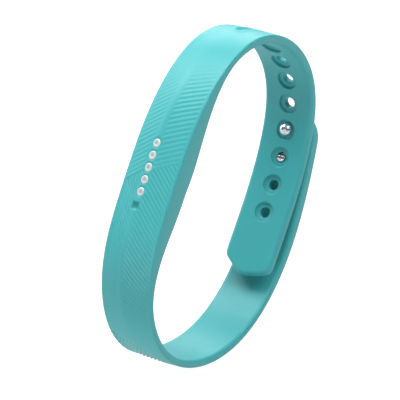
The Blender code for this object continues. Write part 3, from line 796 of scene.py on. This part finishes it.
class Local:
    """A straight frame beside the curved course: u along, n outward, in mm."""

    def __init__(self, origin, angle):
        self.origin = np.array(origin)
        self.along, self.out = onward(angle), outward(angle)

    def __call__(self, u, y, n):
        u, y, n = np.broadcast_arrays(np.asarray(u, float), y, n)
        x = self.origin[0] + self.along[0] * u + self.out[0] * n
        z = self.origin[1] + self.along[1] * u + self.out[1] * n
        return np.stack((x, y, z), axis=-1)

    def course(self, face, low_s, high_s):
        """S, u and n along the middle of a face of the strap."""
        s = np.arange(low_s, high_s, 0.25)
        p = place(s, 0.0, face(s, 0.0))[:, (0, 2)] - self.origin
        return s, p @ self.along, p @ self.out


def edge_point(s):
    x, _, z = place(float(s), 0.0, 0.0)
    return np.array((x, z))


TRACKER = Local(edge_point(TRACKER_S) + TRACKER_SHIFT * onward(TRACKER_HEADING)
                - TRACKER_FACE_DEPTH * outward(TRACKER_HEADING), TRACKER_HEADING)


def stud_seat(s):
    """The middle of a strap hole, halfway through the strap."""
    return edge_point(s) - STRAP_THICK / 2 * outward(float(heading(s)))


ball_seat, pin_seat = (stud_seat(LAST_HOLE_S - k * HOLE_PITCH) for k in (4, 5))
clasp_turn = ball_seat - pin_seat
STUD_U = 0.5 * float(np.linalg.norm(clasp_turn))
CLASP = Local((ball_seat + pin_seat) / 2, math.atan2(clasp_turn[1], clasp_turn[0]))


def opening_rings(frame_of, face, box, slot, lip, sign):
    """Rings from a rectangle in the grid to a slot's lip, and how to go on from there."""
    s, y = border(rim_keys(*box, COARSE))
    table_s, table_u, table_n = frame_of.course(face, float(s.min()) - 3, float(s.max()) + 3)
    length, width = slot
    straight = length - width
    border_u = np.interp(s, table_s, table_u)
    beyond = np.maximum(np.abs(border_u) - straight, 0.0)
    turn = np.arctan2(y, np.sign(border_u) * beyond)
    along_side = beyond <= 0

    def outline(grow):
        """(u, y) of the slot, grown, one point for each point of the border."""
        end, half = length - straight + grow, width + grow
        c, d = np.abs(np.cos(turn)), np.abs(np.sin(turn))
        far = ((c / end) ** SLOT_FULLNESS + (d / half) ** SLOT_FULLNESS) ** (-1 / SLOT_FULLNESS)
        u = np.where(along_side, border_u, np.sign(border_u) * (straight + far * c))
        return u, np.where(along_side, np.sign(y) * half, far * np.sin(turn))

    def face_n(u, v):
        at_s = np.interp(u, table_u, table_s)
        return np.interp(u, table_u, table_n) + face(at_s, v) - face(at_s, 0.0)

    rings = [place(s, y, face(s, y))]
    for share in (0.5, 0.0):
        u, v = outline(lip)
        ring_s = np.interp(u, table_u, table_s) * (1 - share) + s * share
        ring_y = v * (1 - share) + y * share
        rings.append(place(ring_s, ring_y, face(ring_s, ring_y)))
    for k in range(1, ARC_STEPS + 1):
        a = math.pi / 2 * k / ARC_STEPS
        u, v = outline(lip * (1 - math.sin(a)))
        rings.append(frame_of(u, v, face_n(u, v) + sign * lip * (1 - math.cos(a))))
    return rings, outline, face_n


def ladder(rows, across):
    """Faces that close a loop by joining its two long sides with rungs."""
    faces = []
    for k in range(rows):
        faces.append([k, k + 1, 2 * rows + across - k - 1, 2 * rows + across - k])
    faces.append([rows + q for q in range(across + 1)])
    faces.append([2 * rows + across + q for q in range(across + 1)])
    return faces


def closed_opening(frame_of, face, box, slot, lip, bottom, sign):
    """A whole opening: lip, wall and a bottom given as n for (u, y)."""
    rings, outline, face_n = opening_rings(frame_of, face, box, slot, lip, sign)
    u, v = outline(0.0)
    high, low = face_n(u, v) + sign * lip, bottom(u, v) - sign * FOOT_SOFT
    for share in (0.35, 0.7):
        rings.append(frame_of(u, v, high * (1 - share) + low * share))
    for k in range(FOOT_STEPS + 1):
        a = math.pi / 2 * k / FOOT_STEPS
        u, v = outline(-FOOT_SOFT * (1 - math.cos(a)))
        rings.append(frame_of(u, v, bottom(u, v) - sign * FOOT_SOFT * (1 - math.sin(a))))
    points, faces = bridged(rings)
    m = len(rings[0])
    last = (len(rings) - 1) * m
    rungs = ladder((box[1] - box[0]) // COARSE, (box[3] - box[2]) // COARSE)
    return points, faces + [[last + k % m for k in face_keys] for face_keys in rungs]


def box_round(frame_of, face, reach, span, first, last):
    """A rectangle of whole coarse cells that takes in a slot from u = -reach to +reach."""
    s, u, _ = frame_of.course(face, *span)
    low, high = ((np.interp(q, u, s) - ROW_ZERO_S) / ROW / COARSE for q in (-reach, reach))
    return int(math.floor(low)) * COARSE, int(math.ceil(high)) * COARSE, first, last


POCKET_HALF, POCKET_LIP, POCKET_SPAN = (14.5, 4.4), 0.25, (80.0, 140.0)
POCKET_REACH, POCKET_ROOF, ROOF_CURVE = 15.6, 4.6, 150.0


def pocket_roof(u, y):
    return POCKET_ROOF - u * u / ROOF_CURVE


pocket_box = box_round(TRACKER, skin_face, POCKET_REACH, POCKET_SPAN,
                       INNER_START + FACE_COLUMNS[1], INNER_START + FACE_COLUMNS[-2])
pocket_patch = closed_opening(
    TRACKER, skin_face, pocket_box, POCKET_HALF, POCKET_LIP, pocket_roof, 1.0)

PLATE_HALF_LENGTH, PLATE_HALF_WIDTH, PLATE_DEEP = 5.5, 2.5, 0.8
PLATE_GAP, PLATE_PROUD = 0.05, 0.05
BED_REACH, BED_LIP, CLASP_SPAN = 6.6, 0.12, (195.0, 229.0)
line_s, line_u, line_n = CLASP.course(lambda s, y: 0.0, *CLASP_SPAN)


def plate_level(u, y):
    """n of the clasp's outer face over the clasp frame."""
    return np.interp(u, line_u, line_n) + face_height(np.interp(u, line_u, line_s), y)


def bed_floor(u, y):
    return plate_level(u, 0.0) - PLATE_DEEP - PLATE_GAP


bed_box = box_round(
    CLASP, face_height, BED_REACH, CLASP_SPAN, FACE_COLUMNS[4], FACE_COLUMNS[-5])
bed_patch = closed_opening(
    CLASP, face_height, bed_box, (PLATE_HALF_LENGTH + PLATE_GAP, PLATE_HALF_WIDTH + PLATE_GAP),
    BED_LIP, bed_floor, -1.0)
print("pocket rows", pocket_box[:2], "bed rows", bed_box[:2])

# %% [markdown]
# ## The rubber, in two pieces
# The real strap is one moulding. It is made here as two meshes because its clasp
# end has to bend: the long part rides on the band, and the short end is a mesh of
# its own. They meet where the bend has not begun yet, with the
# same points on both sides, so no seam shows. Only the ribbed stretch, the comb
# and the dimple get small cells.

# %% Rubber band
RIB_ROWS = (572, 988)
COMB_ROWS = (988, 1324)
DIMPLE_ROWS = (432, 504)
EDGE_COLUMNS = (0, 2, 4, 6, 8, 12, 16, 18, 20, 22, 24)
RIGHT_COLUMNS = [FLAT + c for c in EDGE_COLUMNS]
LEFT_COLUMNS = [INNER_STOP + c for c in EDGE_COLUMNS]
INNER_COLUMNS = [INNER_START + c for c in FACE_COLUMNS]


def steps(low, high, step=COARSE):
    return list(range(low, high + 1, step))


def side_cells(low, high):
    return cells(steps(low, high), RIGHT_COLUMNS) + cells(steps(low, high), LEFT_COLUMNS)


def end_cap(row):
    """The rounded wall across a strap end."""
    kinds, shares = column_kind[RIGHT_COLUMNS], column_share[RIGHT_COLUMNS]
    across = np.array([2 * c / FLAT - 1 for c in FACE_COLUMNS])
    grid = skin(row, across, kinds[:, None], shares[:, None])
    m = len(across)
    faces = [[r * m + c, r * m + c + 1, (r + 1) * m + c + 1, (r + 1) * m + c]
             for r in range(len(kinds) - 1) for c in range(m - 1)]
    return grid.reshape(-1, 3), faces


def seam_cap(row):
    """The hidden flat face where the two pieces meet."""
    columns = FACE_COLUMNS[:-1] + RIGHT_COLUMNS[:-1] + INNER_COLUMNS[:-1] + LEFT_COLUMNS[:-1]
    return skin_at([(row, j) for j in columns]), [list(range(len(columns)))]


tip_row = TIP_ROOT - TIP_ROWS
outer_holes = [(HOLE_ROWS * k, HOLE_ROWS * (k + 1), HOLE_LEFT, HOLE_RIGHT)
               for k in range(HOLE_COUNT)]
inner_gaps = [(a, b, INNER_START + c, INNER_START + d) for a, b, c, d in outer_holes]
every_column = steps(0, FLAT, 1)
band_cells = cells(steps(tip_row, DIMPLE_ROWS[0]), FACE_COLUMNS, outer_holes)
band_cells += cells(steps(*DIMPLE_ROWS, 2), steps(0, FLAT, 2))
band_cells += cells(steps(DIMPLE_ROWS[1], RIB_ROWS[0]), FACE_COLUMNS)
band_cells += cells(steps(*RIB_ROWS, 1), every_column)
band_cells += cells(steps(*COMB_ROWS, 2), every_column)
band_cells += cells(steps(COMB_ROWS[1], SEAM_ROW), FACE_COLUMNS)
band_cells += cells(steps(tip_row, SEAM_ROW), INNER_COLUMNS, inner_gaps + [pocket_box])
band_cells += side_cells(tip_row, SEAM_ROW)
rubber_band = mesh_piece("rubber_band", [
    skin_patch(band_cells), *hole_patches, pocket_patch, end_cap(tip_row), seam_cap(SEAM_ROW),
], rubber)
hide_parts("band_body")
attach(rubber_band, "band")

# %% [markdown]
# ## The clasp end
# The end is made as its own piece. The span over which it would bend runs from a
# little before the flex line to a little after it, several millimetres long, and
# its two ends are found here.

# %% Clasp end
clasp_row = CLASP_ROOT + CLASP_ROWS
end_cells = cells(steps(SEAM_ROW, clasp_row), FACE_COLUMNS, [bed_box])
end_cells += cells(steps(SEAM_ROW, clasp_row), INNER_COLUMNS)
end_cells += side_cells(SEAM_ROW, clasp_row)
clasp_end = mesh_piece("rubber_clasp_end", [
    skin_patch(end_cells), bed_patch, end_cap(clasp_row), seam_cap(SEAM_ROW),
], rubber)
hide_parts("clasp_strap")
FLEX_SPAN_S = (195.5, 208.5)
flex_start, flex_end = (place(q, 0.0, -STRAP_THICK / 2) * MM for q in FLEX_SPAN_S)
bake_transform(clasp_end)

# %% [markdown]
# ## Turned pieces
# Beads, studs and posts are all turned shapes: a profile of radius and height
# spun round an axis. Round corners are written into the profile, and both ends
# close on the axis, so the shading stays smooth over the top.

# %% Turning


def turned(frame_of, u, y, profile, narrow=1.0, count=48):
    """Points and faces of a profile of (radius, n) spun about the n axis at (u, y)."""
    angle = 2 * np.pi * np.arange(count) / count
    return bridged([frame_of(u + r * np.cos(angle), y + narrow * r * np.sin(angle), n)
                    for r, n in profile])


def rounded(profile, soft):
    """Corners of a profile cut back by soft and rounded."""
    points = [np.array(p, float) for p in profile]
    made = [points[0]]
    for before, corner, after in zip(points, points[1:], points[2:]):
        a, b = before - corner, after - corner
        reach = min(soft, 0.45 * np.linalg.norm(a), 0.45 * np.linalg.norm(b))
        a, b = corner + a / np.linalg.norm(a) * reach, corner + b / np.linalg.norm(b) * reach
        for k in range(ARC_STEPS + 1):
            t = k / ARC_STEPS
            made.append(a * (1 - t) ** 2 + 2 * corner * t * (1 - t) + b * t * t)
    return [tuple(p) for p in made + [points[-1]]]


print("a rounded box profile has", len(rounded([(0, 0), (1, 0), (1, 1), (0, 1)], 0.2)), "points")

# %% [markdown]
# ## Five light beads
# Each light is a plug of milky plastic. Its face is a low ring round a shallow
# dish, which gives it a bright rim. The white comes from a pale base with a glossy
# coat. The greyer middle is partly the dish's own shading and partly painted shade,
# a grey laid in toward the bead's own axis by the distance from it.

# %% Light beads
# the dish tone is a painted shade: a grey laid into the middle of each bead, where its dish lies in
# shade
DISH_PAINTED_SHADE, DISH_SHADE_SPAN, DISH_SHADE_SHARE = (0.24, 0.36, 0.37, 1.0), (0.15 * MM, 0.6 * MM), 0.75
BEAD_SUNK = 0.07


def bead_finish(name, middle):
    mat = finish(name, (0.60, 0.66, 0.67), (0.68, 0.73, 0.74), (0.10, 0.18), grain=3000.0,
                 depth=0.05, Coat_Weight=0.6, Coat_Roughness=0.05, IOR=1.5)
    tree = mat.node_tree
    base = tree.nodes["Principled BSDF"].inputs["Base Color"]
    away = tree.nodes.new("ShaderNodeVectorMath")
    away.operation = "DISTANCE"
    away.inputs[1].default_value = middle
    feed(tree, away.inputs[0], object_place(mat))
    # painted shade: the base colour greys toward the bead's axis, over the dish
    dish_shade = range_node(tree, away.outputs["Value"], *DISH_SHADE_SPAN, DISH_SHADE_SHARE, 0.0)
    feed(tree, base, mix_node(tree, dish_shade, base.links[0].from_socket, DISH_PAINTED_SHADE))
    return mat


BEAD_PROFILE = [(0.0, 0.05), (0.2, 0.055), (0.36, 0.08), (0.5, 0.12), (0.63, 0.145),
                (0.74, 0.125), (0.82, 0.06), (0.87, -0.05), (0.87, -0.5), (0.84, -1.6), (0.0, -1.6)]
for number, s in enumerate(LIGHT_S, 1):
    box_low, box_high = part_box("light_window_%d" % number)
    middle = (np.array(box_low) + box_high) / 2
    s = float(min(np.arange(s - 2, s + 2, 0.02),
                  key=lambda q: np.linalg.norm(place(q, RIDGE_Y, 0.0) * MM - middle)))
    turn = float(heading(s))
    seat = Local(edge_point(s) + (crown(s) - BEAD_SUNK) * outward(turn), turn)
    bead = mesh_piece("light_bead_%d" % number,
                      [turned(seat, 0.0, RIDGE_Y, BEAD_PROFILE, BEAD_NARROW)],
                      bead_finish("milky_window_%d" % number, tuple(seat(0, RIDGE_Y, 0.05) * MM)))
    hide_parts("light_window_%d" % number)
    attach(bead, "band")

# %% [markdown]
# ## Steel: the studs and the plate
# The clasp's metal is one plate with two posts. A ball-headed post snaps through
# one hole and shows as a bright bead; a shorter grooved post sits deep in the
# next hole. The heads are polished, the plate is brushed along its length. The
# brushing is a noise stretched along the strap, used for roughness and bump.

# %% Steel finishes
polished = finish("polished_steel", (0.78, 0.76, 0.80), (0.84, 0.82, 0.86), (0.26, 0.34),
                  grain=9000.0, depth=0.04, Metallic=1.0)
BRUSH_SCALE, BRUSH_STRETCH, BRUSH_ROUGH = 9000.0, 0.02, (0.18, 0.38)


def brushed_finish(name, tone, other, angle):
    mat = finish(name, tone, other, (0.2, 0.34), grain=6000.0, depth=0.12, Metallic=1.0)
    tree = mat.node_tree
    bump = next(n for n in tree.nodes if n.type == "BUMP")
    turn = tree.nodes.new("ShaderNodeMapping")
    turn.inputs["Rotation"].default_value = (0.0, angle, 0.0)
    turn.inputs["Scale"].default_value = (BRUSH_STRETCH, 1.0, 1.0)
    feed(tree, turn.inputs["Vector"], object_place(mat))
    lines = noise_node(tree, turn.outputs["Vector"], BRUSH_SCALE, 3.0)
    rough = range_node(tree, lines, *NOISE_SPAN, *BRUSH_ROUGH)
    feed(tree, tree.nodes["Principled BSDF"].inputs["Roughness"], rough)
    feed(tree, bump.inputs["Height"], lines)
    return mat


clasp_angle = math.atan2(CLASP.along[1], CLASP.along[0])
brushed = brushed_finish("brushed_steel", (0.60, 0.60, 0.62), (0.68, 0.68, 0.70), clasp_angle)
print("brushed along %.1f degrees" % math.degrees(clasp_angle))

# %% Studs and plate
BALL_R, BALL_N, BALL_CUT = 1.4, -0.55, math.radians(148)
POST_R, PIN_R, PIN_N, PIN_AROUND = 0.75, 0.92, -0.55, 96
BARREL_U, BARREL_R, BARREL_DROP = -0.2, 0.8, 0.4
GROOVE_U, GROOVE_WIDE, GROOVE_DEEP = -0.28, 0.06, 0.14
STEP_SPAN, STEP_DEEP = (0.34, 0.44), 1.05
plate_under = float(plate_level(0.0, 0.0)) - PLATE_DEEP
ball_profile = [(BALL_R * math.sin(a), BALL_N - BALL_R * math.cos(a))
                for a in np.linspace(0.0, BALL_CUT, 26)]
ball_profile += [(POST_R, BALL_N + 1.35), (POST_R, plate_under), (0.0, plate_under)]
pin_profile = rounded([
    (PIN_R, 0.62), (PIN_R, 0.64), (PIN_R - 0.1, 0.68), (PIN_R - 0.1, 0.74), (PIN_R, 0.8),
    (PIN_R, 0.95), (POST_R, 1.0), (POST_R, plate_under)], 0.08) + [(0.0, plate_under)]


def barrel_head(reach, angle):
    """n over a pin head: a small barrel lying across the strap, beside a deep step."""
    u = reach * np.cos(angle)
    barrel = 1 - np.sqrt(np.maximum(1 - ((u - BARREL_U) / BARREL_R) ** 2, 0.0))
    groove = GROOVE_DEEP * np.exp(-((u - GROOVE_U) / GROOVE_WIDE) ** 2)
    step = STEP_DEEP * ease(u, *STEP_SPAN)
    return PIN_N + BARREL_DROP * barrel + groove + step + 0.12 * ease(reach, PIN_R - 0.1, PIN_R)


def pin_patch():
    around = 2 * np.pi * np.arange(PIN_AROUND) / PIN_AROUND
    reaches = (*np.linspace(0.0, PIN_R - 0.1, 24), PIN_R - 0.05, PIN_R)
    head = [(r, barrel_head(r, around)) for r in reaches]
    return turned(CLASP, -STUD_U, 0.0, head + pin_profile, count=PIN_AROUND)


ball_patch = turned(CLASP, STUD_U, 0.0, ball_profile, count=64)
for name, patch in (("clasp_stud_ball", ball_patch), ("clasp_stud_pin", pin_patch())):
    stud = mesh_piece(name.replace("clasp", "steel"), [patch], polished, sharp=50)
    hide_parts(name)
    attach(stud, "clasp")


PLATE_AROUND, PLATE_EDGE = 96, 0.18


def plate_ring(inset, drop):
    """The plate's outline shrunk by inset, drop below its face."""
    straight = PLATE_HALF_LENGTH - PLATE_HALF_WIDTH
    angle = 2 * np.pi * (np.arange(PLATE_AROUND) + 0.5) / PLATE_AROUND
    r = PLATE_HALF_WIDTH - inset
    u = np.sign(np.cos(angle)) * straight + r * np.cos(angle)
    y = r * np.sin(angle)
    return CLASP(u, y, plate_level(u, y) + PLATE_PROUD - drop)


plate_rings = [plate_ring(0.3, PLATE_DEEP), plate_ring(0.0, PLATE_DEEP - 0.1)]
plate_rings += [plate_ring(PLATE_EDGE * (1 - math.cos(a)), PLATE_EDGE * (1 - math.sin(a)))
                for a in np.radians((0, 22, 45, 67, 90))]
plate_rings += [plate_ring(q, 0.0) for q in (0.6, 1.2, 1.8, 2.3)]
plate_points, plate_faces = bridged(plate_rings, shut_last=True)
plate_faces.append(list(range(len(plate_rings[0]))))
plate = mesh_piece("steel_plate", [(plate_points, plate_faces)], brushed, sharp=50)
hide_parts("clasp_plate")
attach(plate, "clasp")

# %% [markdown]
# ## The tracker's own finishes
# The tracker is hidden in its pocket from the front but shows from inside the
# ring, and all of it shows when it is pushed out. Its solids have the right
# shape already, so they stay and only get finishes: spark-eroded black and grey
# plastic, gold contacts, and for what is sealed inside, board, foil, foam and
# tin. Each node is given its finish from one table.

# %% Tracker finishes
def of(name, count):
    return ["%s_%d" % (name, k + 1) for k in range(count)]


WORN_BY = (
    (finish("black_plastic", (0.012, 0.012, 0.014), (0.02, 0.02, 0.022), (0.36, 0.48),
            grain=3500.0, depth=0.5, wear=0.5, worn_tone=(0.08, 0.08, 0.085)),
     ["tracker_top_shell"]),
    (finish("grey_plastic", (0.04, 0.042, 0.046), (0.055, 0.057, 0.06), (0.30, 0.42),
            grain=3500.0, depth=0.4, wear=0.5, worn_tone=(0.14, 0.14, 0.15)),
     ["tracker_base_shell"]),
    (finish("gasket_rubber", (0.012, 0.012, 0.012), (0.02, 0.02, 0.02), (0.6, 0.75),
            grain=5000.0, depth=0.3), ["tracker_seal"]),
    (finish("contact_gold", (0.80, 0.56, 0.20), (0.88, 0.66, 0.30), (0.14, 0.26),
            grain=8000.0, depth=0.05, wear=0.3, worn_tone=(0.85, 0.75, 0.5), Metallic=1.0),
     of("charge_contact", 3)),
    (finish("cell_foil", (0.50, 0.51, 0.53), (0.60, 0.61, 0.63), (0.25, 0.42),
            grain=1200.0, depth=0.5, Metallic=0.85), ["battery"]),
    (finish("pad_foam", (0.09, 0.09, 0.09), (0.14, 0.14, 0.14), (0.85, 0.95),
            grain=2500.0, depth=1.0), ["battery_pad"]),
    (finish("board_mask", (0.012, 0.09, 0.045), (0.02, 0.13, 0.06), (0.25, 0.4),
            grain=2600.0, depth=0.25, Coat_Weight=0.3), ["circuit_board"]),
    (finish("chip_resin", (0.02, 0.02, 0.022), (0.035, 0.035, 0.037), (0.5, 0.65),
            grain=6000.0, depth=0.4),
     ["processor", "memory_chip", "motion_sensor", "charge_chip"]),
    (finish("shield_tin", (0.60, 0.60, 0.58), (0.70, 0.70, 0.68), (0.22, 0.38),
            grain=4000.0, depth=0.15, Metallic=1.0), ["radio_chip", "crystal"]),
    (finish("led_resin", (0.85, 0.83, 0.70), (0.90, 0.88, 0.78), (0.2, 0.35),
            grain=5000.0, depth=0.1), of("led", LIGHT_COUNT)),
    (finish("guide_acrylic", (0.82, 0.85, 0.86), (0.88, 0.90, 0.90), (0.06, 0.14),
            grain=3000.0, depth=0.05, Coat_Weight=0.5), ["light_guide"]),
    (finish("weight_tungsten", (0.26, 0.26, 0.27), (0.36, 0.36, 0.37), (0.35, 0.5),
            grain=4500.0, depth=0.4, Metallic=1.0), ["motor_rotor"]),
    (finish("antenna_copper", (0.68, 0.30, 0.15), (0.78, 0.40, 0.22), (0.22, 0.4),
            grain=3500.0, depth=0.15, Metallic=1.0), ["antenna"]),
    (polished, ["motor_cover"]),
    (brushed, ["motor_base"]),
)
dressed = 0
for look, names in WORN_BY:
    for name in names:
        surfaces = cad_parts[name].data.materials
        surfaces.clear()
        surfaces.append(look)
        dressed += 1
print("dressed", dressed, "solids")

# %% [markdown]
# ## A pale table and soft light
# The ring stands on its rim on a pale, softly glowing table, like a light table
# in a small-goods studio. The glow keeps the shadow faint and lights the underside
# of the band. Straight to the camera it is set brighter than it shines on the
# band, so the ground is white and the rubber's shades aren't washed out.
#
# Seven round diffused lamps stand round it. The strongest hang overhead and
# behind, so that the top is the brightest part and the side walls stay deeper.

# %% Stage
FLOOR_HALF = 3.0
TABLE_GLOW, TABLE_SEEN = 0.57, 0.95     # as a light, and as the camera sees it
SURROUND = 0.03
SOFTBOX_SIZE = 0.35
LAMPS = (("overhead", (0.0, 0.0, 0.6), 2.15), ("overhead_right", (0.35, 0.0, 0.5), 0.7),
         ("overhead_back", (0.0, 0.35, 0.5), 1.9), ("overhead_front", (0.0, -0.35, 0.5), 1.6),
         ("left_fill", (-0.6, 0.0, 0.1), 1.1), ("back_fill", (0.0, 0.6, 0.15), 0.9),
         ("back_right", (0.45, 0.30, 0.26), 0.9))

floor_z = float(cad_low[2]) - 0.02 * MM
floor_data = bpy.data.meshes.new("table")
floor_data.from_pydata([(x * FLOOR_HALF, y * FLOOR_HALF, floor_z)
                        for x, y in ((-1, -1), (1, -1), (1, 1), (-1, 1))], [], [(0, 1, 2, 3)])
floor = bpy.data.objects.new("table", floor_data)
bpy.context.scene.collection.objects.link(floor)
table_finish = finish("pale_table", (0.20, 0.20, 0.20), (0.22, 0.22, 0.22), (0.7, 0.8),
                      grain=500.0, depth=0.02, drift=3.0, Emission_Color=(1.0, 1.0, 1.0, 1.0))
table_tree = table_finish.node_tree
seen = table_tree.nodes.new("ShaderNodeLightPath").outputs["Is Camera Ray"]
feed(table_tree, table_tree.nodes["Principled BSDF"].inputs["Emission Strength"],
     range_node(table_tree, seen, 0.0, 1.0, TABLE_GLOW, TABLE_SEEN))
floor_data.materials.append(table_finish)

world = bpy.data.worlds.new("surround")
world.use_nodes = True
background = world.node_tree.nodes["Background"]
background.inputs["Color"].default_value = (0.97, 0.99, 1.0, 1.0)
background.inputs["Strength"].default_value = SURROUND
bpy.context.scene.world = world


def softbox(name, place_at, power):
    """A round diffused lamp that looks at the ring."""
    data = bpy.data.lights.new(name, "AREA")
    data.shape = "DISK"
    data.size = SOFTBOX_SIZE
    data.energy = power
    lamp = bpy.data.objects.new(name, data)
    lamp.location = place_at
    lamp.rotation_mode = "QUATERNION"
    lamp.rotation_quaternion = (-Vector(place_at)).to_track_quat("-Z", "Y")
    bpy.context.scene.collection.objects.link(lamp)


for lamp_setting in LAMPS:
    softbox(*lamp_setting)
bpy.context.scene.view_settings.view_transform = "Standard"
print("table at z = %.2f mm" % (floor_z / MM))

# %% [markdown]
# ## Measure and finish
# The finished model must keep the size of the solids, so the box of the solids is
# printed here.

# %% Sizes
bpy.context.view_layer.update()
print("cad    mm", [round((b - a) / MM, 2) for a, b in zip(cad_low, cad_high)])
